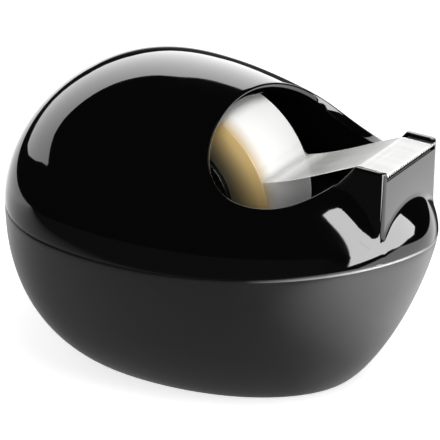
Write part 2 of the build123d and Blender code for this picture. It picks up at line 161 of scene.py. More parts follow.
class DispenserTape(bpy.types.PropertyGroup):
    """Sizes of the roll, the hub and the free end of the tape"""

    edge: length("Roll edge", "Rounding of the roll's edges", 0.25)
    core_bore: length("Core bore", "Radius of the core's bore", 12.7)
    hub_fit: length("Hub fit", "Clearance of the hub in the core, and of its cap in the drum", 0.1)
    film: length("Film", "Thickness at which the free end is drawn", 0.1)
    sag: length("Sag", "How far the free end hangs below a straight line", 0.8)
    hub_wall: length("Hub wall", "Thickness of the hub's drum", 1.6)
    flange: length("Flange", "Thickness of the hub's flanges", 0.9)
    journal: length("Journal", "Radius of the hub's journals", 3.0)
    journal_reach: length("Journal reach", "Length of a journal outside its flange", 3.0)
    peel_angle: FloatProperty(
        name="Peel angle",
        description="Where the tape leaves the roll, above the roll's front",
        default=radians(24),
        unit="ROTATION",
        subtype="ANGLE",
    )
    steps: IntProperty(name="Steps", description="Faces around the roll", default=192, min=32)


class DispenserColours(bpy.types.PropertyGroup):
    """Colours of the finishes"""

    gloss: colour("Gloss black", "High-gloss dome", "#030303")
    satin: colour("Satin black", "Textured bowl", "#131314")
    # painted highlight: this lighter colour on the bowl's rounded edge at the parting line stands in for the
    # light that the edge catches
    satin_painted_highlight: colour("Satin edge", "Edge of the bowl at the parting line, where it is rubbed", "#a8a8a8")
    inner: colour("Inner black", "Plain inner mouldings", "#0d0d0e")
    hub: colour("Hub", "Hub of the roll", "#0b0d0c")
    core: colour("Core", "Core that the tape is wound on", "#11110f")
    tape_face: colour("Tape face", "Outer turn of the wound tape", "#f4f4f2")
    tape_side: colour("Tape side", "Edges of the wound tape, where its turns show as amber", "#d8b97c")
    tape_dark: colour("Tape side, inner turns", "Duller turns nearer the core", "#716a55")
    film: colour("Film", "Free end of the tape", "#f1f1ef")
    steel: colour("Steel", "Cutter plate", "#dcdddd")
    zinc: colour("Zinc", "Plated screws", "#b9bec2")
    iron: colour("Cast weight", "Cast ballast", "#4b4c4e")
    foam: colour("Foam", "Sheet under the ballast", "#2a2a2c")
    rubber: colour("Rubber", "Foot pad", "#1a1a1a")


# ---- Shape of the body, as in the construction model ----

PLAN_REAR_POWER = 2.43
PLAN_FRONT_POWER = 1.8
PEAK_REAR_POWER = 2.36
PEAK_FRONT_POWER = 1.74
BOWL_REAR_POWER = 2.36
BOWL_FRONT_POWER = 1.3
BOWL_SIDE_POWER = 2.02
# places on the mouth's cut, seen from the side: x, z and slope
MOUTH_CUT = (
    (1.2, 68.6, -1.9),
    (8.2, 57.7, -1.06),
    (17.9, 52.0, -0.21),
    (31.6, 54.4, 0.665),
    (37.6, 61.0, 1.3),
)


def rise(distance, power):
    """Height of a rounded profile of height 1: 1 at distance 0, and 0, standing upright, at distance 1."""
    return (1 - min(abs(distance), 1) ** power) ** (1 / power)


def halve(low, high, is_low):
    """Value between low and high at which is_low stops being true."""
    for _ in range(36):
        middle = (low + high) / 2
        if is_low(middle):
            low = middle
        else:
            high = middle
    return (low + high) / 2


def mouth_z(x):
    """Height of the mouth's cut, which runs straight across the body. Smooth between its places."""
    x = x / MM
    if x <= MOUTH_CUT[0][0]:
        start_x, start_z, slope = MOUTH_CUT[0]
        return (start_z + slope * (x - start_x)) * MM
    for (x0, z0, slope0), (x1, z1, slope1) in zip(MOUTH_CUT, MOUTH_CUT[1:]):
        if x <= x1:
            reach = x1 - x0
            t = (x - x0) / reach
            level = z0 * (1 + 2 * t) * (1 - t) ** 2 + z1 * t * t * (3 - 2 * t)
            return (level + reach * t * (1 - t) * (slope0 * (1 - t) - slope1 * t)) * MM
    end_x, end_z, slope = MOUTH_CUT[-1]
    return (end_z + slope * (x - end_x)) * MM


class Shape:
    """Outside of the body, worked out from the sizes."""

    def __init__(self, scene):
        self.body = scene.dispenser_body
        self.beak = scene.dispenser_beak
        low, high = Vector(CAD_BOUNDS[0]), Vector(CAD_BOUNDS[1])
        self.rear_x = low.x
        self.front_x = high.x
        self.half_width = (high.y - low.y) / 2

    def plan_half_width(self, x):
        """Half of the body's width at the parting line."""
        widest = self.body.widest_x
        if x < widest:
            return self.half_width * rise((widest - x) / (widest - self.rear_x), PLAN_REAR_POWER)
        return self.half_width * rise((x - widest) / (self.front_x - widest), PLAN_FRONT_POWER)

    def seam_z(self, x):
        """Height of the parting line."""
        radius = self.body.seam_radius
        return self.body.seam_low_z + radius - sqrt(radius**2 - (x - self.body.seam_low_x) ** 2)

    def dome_z(self, x, y):
        """Height of the dome over a place on the desk."""
        peak = self.body.peak_x
        if x < peak:
            height = self.body.dome_height * rise((peak - x) / (peak - self.rear_x), PEAK_REAR_POWER)
        else:
            height = self.body.dome_height * rise((x - peak) / (self.front_x - peak), PEAK_FRONT_POWER)
        half_width = self.plan_half_width(x)
        across = rise(y / half_width, 2) if half_width > 1e-9 else 0
        return self.seam_z(x) + height * across

    def ray(self, angle, distance):
        """Place on the desk at a distance from the middle of the mouth."""
        return self.body.mouth_x + distance * cos(angle), distance * sin(angle)

    def seam_distance(self, angle):
        """Distance from the mouth's middle to the parting line."""

        def inside(distance):
            x, y = self.ray(angle, distance)
            return self.rear_x < x < self.front_x and abs(y) < self.plan_half_width(x)

        return halve(0, self.front_x - self.rear_x, inside)

    def rim_distance(self, angle):
        """Distance from the mouth's middle to its rim, which under the beak follows the beak's hollow."""

        def open_there(distance):
            x, y = self.ray(angle, distance)
            return self.dome_z(x, y) > mouth_z(x) + self.body.rim_lift

        distance = halve(0, self.seam_distance(angle), open_there)
        if cos(angle) > 0:
            hollow_half = self.beak.width / 2 - self.beak.wall
            hollow_front = self.beak.front_x - self.beak.wall - self.body.mouth_x
            hollow = min(hollow_half / max(abs(sin(angle)), 1e-9), hollow_front / cos(angle))
            distance = max(distance, hollow)
        return distance

    def bowl_point(self, angle, level, inset=0.0):
        """Place on the bowl's wall. angle goes round the plan, and level from the desk, 0, to the seam, 1."""
        body = self.body

        def swell(foot, seam, power):
            return foot + (seam - foot) * rise(1 - level, power)

        ahead = cos(angle) > 0
        reach = self.front_x - body.widest_x if ahead else body.widest_x - self.rear_x
        share = (body.widest_x + reach * cos(angle) - self.rear_x) / (self.front_x - self.rear_x)
        rear = swell(body.foot_rear_x, self.rear_x, BOWL_REAR_POWER) + inset
        front = swell(body.foot_front_x, self.front_x, BOWL_FRONT_POWER) - inset
        x = rear + share * (front - rear)
        half_width = swell(body.foot_width / 2, self.half_width, BOWL_SIDE_POWER) - inset
        across = rise(cos(angle), PLAN_FRONT_POWER if ahead else PLAN_REAR_POWER)
        y = half_width * across * (1 if sin(angle) > 0 else -1)
        return Vector((x, y, level * self.seam_z(x)))


# ---- Mesh helpers ----

# a place inside the body, which its sheets face away from
BODY_MIDDLE = Vector((0, 0, 30 * MM))


def sheet_around(columns, rows, place):
    """An open sheet that goes once round the body. place(turn, share) gives each point."""
    bm = bmesh.new()
    bmesh.ops.create_grid(bm, x_segments=columns, y_segments=rows, size=0.5)
    for vert in bm.verts:
        vert.co = place(2 * pi * (vert.co.x + 0.5), vert.co.y + 0.5)
    bmesh.ops.remove_doubles(bm, verts=bm.verts, dist=1e-6)
    turn_outwards(bm, BODY_MIDDLE)
    return bm


def turn_outwards(bm, middle):
    """Turns an open sheet's faces away from a point."""
    bmesh.ops.recalc_face_normals(bm, faces=bm.faces)
    if sum(face.normal.dot(face.calc_center_median() - middle) for face in bm.faces) < 0:
        bmesh.ops.reverse_faces(bm, faces=bm.faces)


def round_edges(bm, edges, radius, segments=3):
    """Rounds edges to a radius. Returns the new faces."""
    made = bmesh.ops.bevel(
        bm,
        geom=list(edges),
        offset=radius,
        offset_type="OFFSET",
        segments=segments,
        profile=0.5,
        affect="EDGES",
        clamp_overlap=False,
        material=-1,
    )
    return made["faces"]


def round_sharp(bm, radius, segments=3, angle=50):
    """Rounds every edge that turns by more than an angle in degrees."""
    sharp = [e for e in bm.edges if len(e.link_faces) == 2 and e.calc_face_angle() > radians(angle)]
    round_edges(bm, sharp, radius, segments)


def lathe(outline, centre, steps):
    """Turns an outline of (radius, y) corners about the axle. A ring's outline closes on itself."""
    bm = bmesh.new()
    verts = [bm.verts.new((centre.x + radius, y, centre.z)) for radius, y in outline]
    edges = [bm.edges.new(pair) for pair in zip(verts, verts[1:])]
    if outline[0][0] > 0:
        edges.append(bm.edges.new((verts[-1], verts[0])))
    bmesh.ops.spin(
        bm,
        geom=verts + edges,
        cent=centre,
        axis=(0, 1, 0),
        angle=2 * pi,
        steps=steps,
        use_merge=True,
        use_duplicate=False,
    )
    bmesh.ops.remove_doubles(bm, verts=bm.verts, dist=1e-6)
    bmesh.ops.dissolve_degenerate(bm, edges=bm.edges, dist=1e-7)
    bmesh.ops.recalc_face_normals(bm, faces=bm.faces)
    return bm


def new_object(name, bm, material):
    """Makes a mesh object of a bmesh."""
    mesh = bpy.data.meshes.new(name)
    bm.to_mesh(mesh)
    bm.free()
    mesh.materials.append(material)
    made = bpy.data.objects.new(name, mesh)
    bpy.context.scene.collection.objects.link(made)
    return made


def finish_piece(name, bm, material, body, slot, *stands_for, smooth_angle=40):
    """Makes a piece of a bmesh and puts it in the frame."""
    for face in bm.faces:
        face.smooth = True
    for edge in bm.edges:
        edge.smooth = len(edge.link_faces) != 2 or edge.calc_face_angle() < radians(smooth_angle)
    piece = new_object(name, bm, material)
    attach(piece, body)
    if stands_for:
        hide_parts(*stands_for)
    return piece


# ---- Materials ----

# most values of a noise texture lie between these
NOISE_SPAN = (0.3, 0.7)


def set_inputs(tree, node, inputs):
    """Gives a node's inputs, in order or by key, their values, or other nodes' outputs as their links."""
    for key, value in inputs.items() if isinstance(inputs, dict) else enumerate(inputs):
        socket = node.inputs[key]
        if isinstance(value, bpy.types.NodeSocket):
            tree.links.new(value, socket)
        elif socket.type == "RGBA":
            socket.default_value = (*value, 1)
        else:
            socket.default_value = value


def add_node(tree, kind, inputs=(), **settings):
    """Adds a shader node with its settings and inputs. Returns its outputs."""
    node = tree.nodes.new("ShaderNode" + kind)
    for name, value in settings.items():
        setattr(node, name, value)
    set_inputs(tree, node, inputs)
    return node.outputs


def new_material(name):
    """A new material, the function that adds nodes to it, and the piece's own coordinates."""
    material = bpy.data.materials.new(name)
    material.use_nodes = True
    add = partial(add_node, material.node_tree)
    return material, add, add("TexCoord")["Object"]


def finish_material(material, inputs):
    """Gives the material's shader its values and links."""
    tree = material.node_tree
    set_inputs(tree, tree.nodes["Principled BSDF"], inputs)
    return material


def polished_abs(colours):
    """ABS from a polished mould: near black, with sharp reflections that a faint flow ripple softens."""
    material, add, place = new_material("polished_abs")
    haze = add("TexNoise", {"Vector": place, "Scale": 1 / (14 * MM), "Detail": 3})["Fac"]
    flow = add("TexNoise", {"Vector": place, "Scale": 1 / (6 * MM), "Detail": 1})["Fac"]
    inputs = {
        "Base Color": colours.gloss,
        "Roughness": add("MapRange", (haze, *NOISE_SPAN, 0.025, 0.07))[0],
        "IOR": 1.54,
        "Normal": add("Bump", {"Height": flow, "Distance": 0.0012 * MM})[0],
    }
    return finish_material(material, inputs)


def textured_abs(colours):
    """ABS from a spark-eroded mould: an even fine grain that spreads the light into soft greys."""
    material, add, place = new_material("textured_abs")
    # the real grain is about 0.1 mm; it is drawn coarser so that it shows
    grain = add("TexNoise", {"Vector": place, "Scale": 1 / (0.35 * MM)})["Fac"]
    haze = add("TexNoise", {"Vector": place, "Scale": 1 / (9 * MM), "Detail": 3})["Fac"]
    lighter = add("MapRange", (grain, *NOISE_SPAN, 0, 1))[0]
    tones = {0: lighter, 6: colours.satin, 7: [1.25 * c for c in colours.satin]}
    inputs = {
        "Base Color": add("Mix", tones, data_type="RGBA")[2],
        "Roughness": add("MapRange", (haze, *NOISE_SPAN, 0.33, 0.4))[0],
        "IOR": 1.54,
        # the grain scatters light at glancing angles
        "Sheen Weight": 0.16,
        "Sheen Roughness": 0.45,
        "Normal": add("Bump", {"Height": grain, "Distance": 0.012 * MM})[0],
    }
    return finish_material(material, inputs)


def painted_highlight_abs(colours):
    """Satin ABS at the parting line, with a painted highlight that grows lighter towards the front, standing
    in for the light that its rounded edge catches.
    """
    material, add, place = new_material("painted_highlight_abs")
    grain = add("TexNoise", {"Vector": place, "Scale": 1 / (0.35 * MM)})["Fac"]
    along = add("SeparateXYZ", (place,))["X"]
    # painted highlight: lighter from 22 mm to 46 mm along X
    painted_highlight_share = add("MapRange", (along, 22 * MM, 46 * MM, 0, 1))[0]
    tones = {0: painted_highlight_share, 6: colours.satin, 7: colours.satin_painted_highlight}
    inputs = {
        "Base Color": add("Mix", tones, data_type="RGBA")[2],
        "Roughness": 0.3,
        "IOR": 1.54,
        "Normal": add("Bump", {"Height": grain, "Distance": 0.004 * MM})[0],
    }
    return finish_material(material, inputs)


def plain_abs(name, base, roughness=0.5):
    """ABS from a plain machined mould: dull black, with faint tool marks."""
    material, add, place = new_material(name)
    squeezed = add("Mapping", {"Vector": place, "Scale": (1, 6, 1)})[0]
    marks = add("TexNoise", {"Vector": squeezed, "Scale": 1 / (1.2 * MM)})["Fac"]
    spread = (marks, *NOISE_SPAN, roughness - 0.06, roughness + 0.08)
    inputs = {
        "Base Color": base,
        "Roughness": add("MapRange", spread)[0],
        "IOR": 1.54,
        "Normal": add("Bump", {"Height": marks, "Distance": 0.006 * MM})[0],
    }
    return finish_material(material, inputs)


def wound_tape(colours, centre, size, core):
    """Clear tape wound on its core: white and matt outside, golden along its edges, where the turns let light
    through, and duller towards the core. Along its near edge the outer turn has a painted golden glow for
    light from the far side."""
    material, add, place = new_material("wound_tape")
    half_width = size.y / 2
    outer = size.x / 2
    moved = add("VectorMath", (place, centre), operation="SUBTRACT")[0]
    flat = add("VectorMath", (moved, (1, 0, 1)), operation="MULTIPLY")[0]
    radius = add("VectorMath", (flat,), operation="LENGTH")["Value"]
    across = add("SeparateXYZ", (moved,))["Y"]
    side = add("Math", (across,), operation="ABSOLUTE")[0]
    # turns are 0.05 mm thick; the rings are drawn 0.6 mm apart so that they show
    phase = add("Math", (radius, 2 * pi / (0.6 * MM)), operation="MULTIPLY")[0]
    wave = add("Math", (phase,), operation="SINE")[0]
    uneven = add("TexNoise", {"Vector": place, "Scale": 1 / (5 * MM), "Detail": 3})["Fac"]
    rings = add("Math", (wave, uneven), operation="MULTIPLY")[0]
    # the turns go from dull to golden over the wound thickness, and each ring is a little duller
    depth = add("MapRange", (radius, core + 1 * MM, outer - 2.1 * MM, 1, 0))[0]
    tones = {0: depth, 6: colours.tape_side, 7: colours.tape_dark}
    gold = add("Mix", tones, data_type="RGBA")[2]
    ring_share = add("MapRange", (rings, -0.5, 0.5, 0, 0.16))[0]
    tones = {0: ring_share, 6: gold, 7: colours.tape_dark}
    amber = add("Mix", tones, data_type="RGBA")[2]
    # painted light: the outer turn is painted golden along its near edge, 5.2 mm wide, for light that comes
    # from the far side; on the outer face this painted glow is a darker gold
    on_face = (side, half_width - 0.1 * MM, half_width - 0.02 * MM, 0, 1)
    face_share = add("MapRange", on_face)[0]
    painted_glow_band = add("MapRange", (across, -half_width, 5.2 * MM - half_width, 1, 0))[0]
    soft = add("Math", (painted_glow_band, 1.3), operation="POWER")[0]
    share = add("Math", (face_share, soft), operation="MAXIMUM")[0]
    on_outer = (radius, outer - 0.3 * MM, outer - 0.05 * MM, 0, 1)
    outer_share = add("MapRange", on_outer)[0]
    tones = {0: outer_share, 6: amber, 7: [0.72 * c for c in colours.tape_side]}
    amber_and_painted_glow = add("Mix", tones, data_type="RGBA")[2]
    tones = {0: share, 6: colours.tape_face, 7: amber_and_painted_glow}
    inputs = {
        "Base Color": add("Mix", tones, data_type="RGBA")[2],
        "Roughness": 0.38,
        "IOR": 1.49,
        "Normal": add("Bump", {"Height": rings, "Distance": 0.004 * MM})[0],
    }
    return finish_material(material, inputs)


def matt_film(colours, half_width, free_from):
    """Cast film with a matt back: milky over dark things, clear over bright ones, white along its edges.

    free_from gives the places along X between which the film leaves the roll."""
    material, add, place = new_material("matt_film")
    drawn = add("Mapping", {"Vector": place, "Scale": (0.15, 1, 1)})[0]
    streak = add("TexNoise", {"Vector": drawn, "Scale": 1 / (3 * MM)})["Fac"]
    creased = add("Mapping", {"Vector": place, "Scale": (0.3, 1, 1)})[0]
    crease = add("TexNoise", {"Vector": creased, "Scale": 1 / (2.5 * MM)})["Fac"]
    axes = add("SeparateXYZ", (place,))
    side = add("Math", (axes["Y"],), operation="ABSOLUTE")[0]
    streaks = add("MapRange", (streak, *NOISE_SPAN, 0.36, 0.46))[0]
    at_edge = (side, half_width - 0.35 * MM, half_width - 0.1 * MM, 0, 0.5)
    edge = add("MapRange", at_edge)[0]
    streaky = add("Math", (streaks, edge), operation="ADD", use_clamp=True)[0]
    # where it still lies on the roll it is part of the roll's white, then it is milky, then pulled taut
    leave_x, free_x = free_from
    taut_x = free_x + 8 * MM
    stuck = add("MapRange", (axes["X"], leave_x, free_x, 0.02, 1))[0]
    milky = add("MapRange", (axes["X"], free_x, taut_x, 0.9, 0))[0]
    taut = add("MapRange", (axes["X"], taut_x, taut_x + 14 * MM, 0, 0.4))[0]
    cover = add("Math", (streaky, taut), operation="ADD", use_clamp=True)[0]
    either = add("Math", (cover, milky), operation="MAXIMUM")[0]
    inputs = {
        "Base Color": colours.film,
        "Roughness": 0.32,
        "IOR": 1.49,
        "Alpha": add("Math", (either, stuck), operation="MULTIPLY")[0],
        "Normal": add("Bump", {"Height": crease, "Distance": 0.01 * MM})[0],
    }
    return finish_material(material, inputs)


def rolled_steel(name, base, roughness, stretch=(0.08, 1, 1)):
    """Cold-rolled bright steel strip: fine rolling lines that draw reflections out across them."""
    material, add, place = new_material(name)
    drawn = add("Mapping", {"Vector": place, "Scale": stretch})[0]
    lines = add("TexNoise", {"Vector": drawn, "Scale": 1 / (0.3 * MM)})["Fac"]
    spread = (lines, *NOISE_SPAN, roughness - 0.06, roughness + 0.1)
    inputs = {
        "Base Color": base,
        "Metallic": 1,
        "Roughness": add("MapRange", spread)[0],
        "Normal": add("Bump", {"Height": lines, "Distance": 0.003 * MM})[0],
    }
    return finish_material(material, inputs)


def cast_iron(colours):
    """Sand-cast iron, dipped in lacquer: lumpy and pitted, with a dull sheen."""
    material, add, place = new_material("cast_iron")
    lumps = add("TexNoise", {"Vector": place, "Scale": 1 / (1.5 * MM), "Detail": 4})["Fac"]
    raised = add("MapRange", (lumps, *NOISE_SPAN, 0, 1))[0]
    tones = {0: raised, 6: [0.6 * c for c in colours.iron], 7: colours.iron}
    inputs = {
        "Base Color": add("Mix", tones, data_type="RGBA")[2],
        "Roughness": 0.55,
        "Normal": add("Bump", {"Height": lumps, "Distance": 0.15 * MM})[0],
    }
    return finish_material(material, inputs)


def cell_foam(colours):
    """Cut polyethylene foam: matt, with open cells at the skin."""
    material, add, place = new_material("cell_foam")
    cells = add("TexVoronoi", {"Vector": place, "Scale": 1 / (0.5 * MM)})["Distance"]
    tones = {0: cells, 6: [0.5 * c for c in colours.foam], 7: colours.foam}
    inputs = {
        "Base Color": add("Mix", tones, data_type="RGBA")[2],
        "Roughness": 0.9,
        "Normal": add("Bump", {"Height": cells, "Distance": 0.08 * MM})[0],
    }
    return finish_material(material, inputs)


def moulded_rubber(colours):
    """Non-slip rubber sheet: matt and slightly dusty, with a fine cloth texture from its mould."""
    material, add, place = new_material("moulded_rubber")
    weave = add("TexVoronoi", {"Vector": place, "Scale": 1 / (0.7 * MM)})["Distance"]
    dust = add("TexNoise", {"Vector": place, "Scale": 1 / (6 * MM), "Detail": 3})["Fac"]
    inputs = {
        "Base Color": colours.rubber,
        "Roughness": add("MapRange", (dust, *NOISE_SPAN, 0.68, 0.85))[0],
        "IOR": 1.52,
        "Normal": add("Bump", {"Height": weave, "Distance": 0.05 * MM})[0],
    }
    return finish_material(material, inputs)


# ---- Operators, one for each piece or group of like pieces ----


class DISPENSER_OT_dome(bpy.types.Operator):
    """Moulds the glossy dome, open at the mouth, with the tongue that locates it in the bowl"""

    bl_idname = "dispenser.dome"
    bl_label = "Dome"

    columns: IntProperty(name="Columns", description="Faces around the mouth", default=256, min=32)
    rows: IntProperty(name="Rows", description="Faces from the mouth to the parting line", default=40, min=8)
    rim_row: length("Rim row", "Width of the first row, which the rim's rounding takes up", 1.0)
    inner_round: length("Inner rounding", "Rounding of the mouth's inner edge", 0.35)
    tongue_height: length("Tongue", "Height of the tongue below the parting line", 2.5)
    tongue_inset: length("Tongue inset", "Distance of the tongue from the bowl's outside", 2.85)
    tongue_wall: length("Tongue wall", "Thickness of the tongue", 1.2)

    def execute(self, context):
        shape = Shape(context.scene)
        body = context.scene.dispenser_body
        colours = context.scene.dispenser_colours
        reaches = {}

        def place(turn, share):
            if turn not in reaches:
                reaches[turn] = shape.rim_distance(turn), shape.seam_distance(turn)
            distance, seam = reaches[turn]
            row = round(share * self.rows)
            if row > 0:
                start = distance + self.rim_row
                distance = start + (seam - start) * sin(pi / 2 * (row - 1) / (self.rows - 1))
            x, y = shape.ray(turn, distance)
            z = shape.dome_z(x, y) if row < self.rows else shape.seam_z(x)
            return Vector((x, y, max(z, shape.seam_z(x) + body.seam_gap / 2)))

        bm = sheet_around(self.columns, self.rows, place)
        border = {v for v in bm.verts if v.is_boundary}
        seam = {v for v in border if v.co.z < shape.seam_z(v.co.x) + body.seam_gap}
        rim = border - seam
        outside = set(bm.verts)
        bmesh.ops.solidify(bm, geom=bm.faces[:], thickness=body.dome_wall)
        for face in bm.faces:
            face.material_index = 1 if outside.isdisjoint(face.verts) else 0
        inside_edges = [e for e in bm.edges if outside.isdisjoint(e.verts)]
        inner_rim = [e for e in inside_edges if any(rim.intersection(f.verts) for f in e.link_faces)]
        round_edges(bm, inner_rim, self.inner_round, 3)
        rim_edges = [e for e in bm.edges if rim.issuperset(e.verts)]
        seam_edges = [e for e in bm.edges if seam.issuperset(e.verts)]
        round_edges(bm, rim_edges, body.rim_round, 4)
        round_edges(bm, seam_edges, body.seam_round, 2)
        gloss = polished_abs(colours)
        dome = finish_piece("dome", bm, gloss, "body", "gloss_abs", "upper_shell", smooth_angle=35)
        dome.data.materials.append(plain_abs("plain_abs_dome", colours.inner))

        def tongue_place(turn, share):
            point = shape.bowl_point(turn, 1, self.tongue_inset)
            point.z += self.tongue_height * (2 * share - 1)
            return point

        bm = sheet_around(128, 1, tongue_place)
        bmesh.ops.solidify(bm, geom=bm.faces[:], thickness=self.tongue_wall)
        finish_piece("dome_tongue", bm, gloss, "body", "gloss_abs", "upper_shell")
        return {"FINISHED"}


class DISPENSER_OT_beak(bpy.types.Operator):
    """Moulds the beak: two lips, the front wall between them and the pocket's floor"""

    bl_idname = "dispenser.beak"
    bl_label = "Beak"

    root_x: length("Root", "Where the lips start, in the dome's rim", 33.0)
    panel_drop: length("Front wall drop", "Distance of the front wall's top below the lips", 1.9)
    floor_thick: length("Floor", "Thickness of the pocket's floor", 1.5)
    front_flare: FloatProperty(
        name="Front flare",
        description="Share of the flare at the front",
        default=0.32,
    )
    flare_ends: length("Flare ends", "Length over which the flare fades at either end of a lip", 3.6)

    def flare_share(self, beak, x):
        """Share of the flare along a lip: none at its root, and little at its front."""
        grown = min(1, (x - self.root_x) / self.flare_ends)
        left = min(1, (beak.front_x - x) / self.flare_ends)
        return grown * (self.front_flare + (1 - self.front_flare) * left)

    def wall(self, shape, plan, top_z):
        """A wall on a plan line, from its foot, which flares out onto the dome, up to a height.

        plan gives each place's x, y, direction outwards and share of the flare."""
        beak = shape.beak
        columns = len(plan) - 1
        steps = 8

        def place(column, row):
            x, y, out_x, out_y, share = plan[column]
            ground = shape.dome_z(x, y)
            if row == 0:
                return Vector((x, y, min(top_z, mouth_z(x))))
            t = (row - 1) / steps
            start_z = min(ground + beak.flare_height * share, min(top_z, mouth_z(x)) - 2 * beak.lip_round)
            reach = beak.flare * share
            end_x, end_y = x + out_x * reach, y + out_y * reach
            foot_z = min(shape.dome_z(end_x, end_y), start_z)
            if t > 1:
                lowest = shape.seam_z(end_x) + 2 * shape.body.seam_gap
                return Vector((end_x, end_y, min(foot_z, max(foot_z - beak.sink, lowest))))
            z = start_z * (1 - t) ** 2 + 2 * min(ground, start_z) * t * (1 - t) + foot_z * t * t
            return Vector((x + out_x * reach * t * t, y + out_y * reach * t * t, z))

        bm = bmesh.new()
        rows = steps + 2
        bmesh.ops.create_grid(bm, x_segments=columns, y_segments=rows, size=0.5)
        top = set()
        for vert in bm.verts:
            column, row = round((vert.co.x + 0.5) * columns), round((0.5 - vert.co.y) * rows)
            vert.co = place(column, row)
            if row == 0:
                top.add(vert)
        bm.normal_update()
        turn_outwards(bm, Vector((beak.rear_x - 3 * beak.wall, 0, beak.floor_z)))
        bmesh.ops.solidify(bm, geom=bm.faces[:], thickness=beak.wall)
        round_edges(bm, [e for e in bm.edges if top.issuperset(e.verts)], beak.lip_round)
        return bm

    def execute(self, context):
        shape = Shape(context.scene)
        beak = shape.beak
        half = beak.width / 2
        corner_x = beak.front_x - beak.corner
        count = 20
        stretches = ((self.root_x, beak.rear_x), (beak.rear_x, corner_x))
        places = [a + (b - a) * i / count for a, b in stretches for i in range(count)]
        lip = [(x, half, 0, 1, self.flare_share(beak, x)) for x in places]
        for i in range(count // 2 + 1):
            angle = pi / 2 * (1 - 2 * i / count)
            out_x, out_y = cos(angle), sin(angle)
            x = corner_x + beak.corner * out_x
            lip.append((x, half - beak.corner * (1 - out_y), out_x, out_y, self.flare_share(beak, x)))
        near_lip = [(x, -y, out_x, -out_y, share) for x, y, out_x, out_y, share in lip]
        reach = half - beak.corner
        across = [reach * (1 - 2 * i / count) for i in range(count + 1)]
        panel = [(beak.front_x, y, 1, 0, self.front_flare) for y in across]
        walls = {
            "beak_far_lip": self.wall(shape, lip, beak.top_z),
            "beak_near_lip": self.wall(shape, near_lip, beak.top_z),
            "beak_front": self.wall(shape, panel, beak.top_z - self.panel_drop),
        }
        bm = bmesh.new()
        bmesh.ops.create_cube(bm, size=2)
        for vert in bm.verts:
            z = beak.floor_z + (0 if vert.co.z > 0 else -self.floor_thick)
            rear = halve(
                shape.body.seam_low_x, beak.rear_x, lambda x: mouth_z(x) < z or x < shape.body.mouth_x
            )
            x = beak.front_x - beak.wall if vert.co.x > 0 else rear
            vert.co = Vector((x, vert.co.y * (half - beak.wall), z))
        walls["beak_floor"] = bm
        gloss = bpy.data.materials["polished_abs"]
        for name, wall in walls.items():
            finish_piece(name, wall, gloss, "body", "gloss_abs", "upper_shell")
        return {"FINISHED"}


class DISPENSER_OT_bowl(bpy.types.Operator):
    """Moulds the satin bowl, with the recess for its foot pad"""

    bl_idname = "dispenser.bowl"
    bl_label = "Bowl"

    edge_round: length("Edge rounding", "Rounding of the bowl's edge at the parting line", 0.45)
    columns: IntProperty(name="Columns", description="Faces around the bowl", default=256, min=32)
    rows: IntProperty(name="Rows", description="Faces from the foot to the parting line", default=40, min=8)

    def execute(self, context):
        shape = Shape(context.scene)
        body = context.scene.dispenser_body
        colours = context.scene.dispenser_colours

        def place(turn, share):
            level = body.foot_z / body.seam_low_z
            # rows lie closer together at the foot, where the wall turns in
            level += (1 - level) * share**1.7
            point = shape.bowl_point(turn, level)
            point.z = max(point.z - level * body.seam_gap / 2, body.foot_z)
            if share < 0.5 / self.rows:
                point.z = body.foot_z
            return point

        bm = sheet_around(self.columns, self.rows, place)
        seam = {v for v in bm.verts if v.is_boundary and v.co.z > 2 * body.foot_z}
        foot_edges = [e for e in bm.edges if e.is_boundary and not seam.issuperset(e.verts)]
        bmesh.ops.contextual_create(bm, geom=foot_edges)
        turn_outwards(bm, Vector((0, 0, body.seam_low_z)))
        bmesh.ops.solidify(bm, geom=bm.faces[:], thickness=body.bowl_wall)
        # the rounded edge at the parting line gets the finish with the painted highlight
        for face in round_edges(bm, [e for e in bm.edges if seam.issuperset(e.verts)], self.edge_round):
            face.material_index = 1
        foot = [f for f in bm.faces if len(f.verts) > 64 and f.calc_center_median().z < 1.5 * body.foot_z]
        bmesh.ops.inset_region(bm, faces=foot, thickness=body.pad_margin)
        raised = bmesh.ops.extrude_discrete_faces(bm, faces=foot)["faces"]
        bmesh.ops.translate(bm, verts=raised[0].verts[:], vec=(0, 0, body.pad_recess))
        bowl = finish_piece("bowl", bm, textured_abs(colours), "body", "satin_abs", "lower_shell")
        bowl.data.materials.append(painted_highlight_abs(colours))
        return {"FINISHED"}


class DISPENSER_OT_roll(bpy.types.Operator):
    """Turns the wound tape and its core"""

    bl_idname = "dispenser.roll"
    bl_label = "Tape roll"

    def execute(self, context):
        tape = context.scene.dispenser_tape
        colours = context.scene.dispenser_colours
        middle, size = middle_and_size("tape_roll")
        core = middle_and_size("roll_core")[1].x / 2
        tape_finish = wound_tape(colours, middle, size, core)
        core_finish = plain_abs("plain_abs_core", colours.core, 0.28)
        rings = (
            ("wound_tape", core, size.x / 2, tape.edge, 3, tape_finish, "tape_film", "tape_roll"),
            ("tape_core", tape.core_bore, core, tape.edge / 2, 2, core_finish, "core_plastic", "roll_core"),
        )
        half = size.y / 2
        for name, bore, radius, edge, segments, material, slot, node in rings:
            bm = lathe([(bore, -half), (radius, -half), (radius, half), (bore, half)], middle, tape.steps)
            round_sharp(bm, edge, segments)
            finish_piece(name, bm, material, "spool", slot, node)
        return {"FINISHED"}


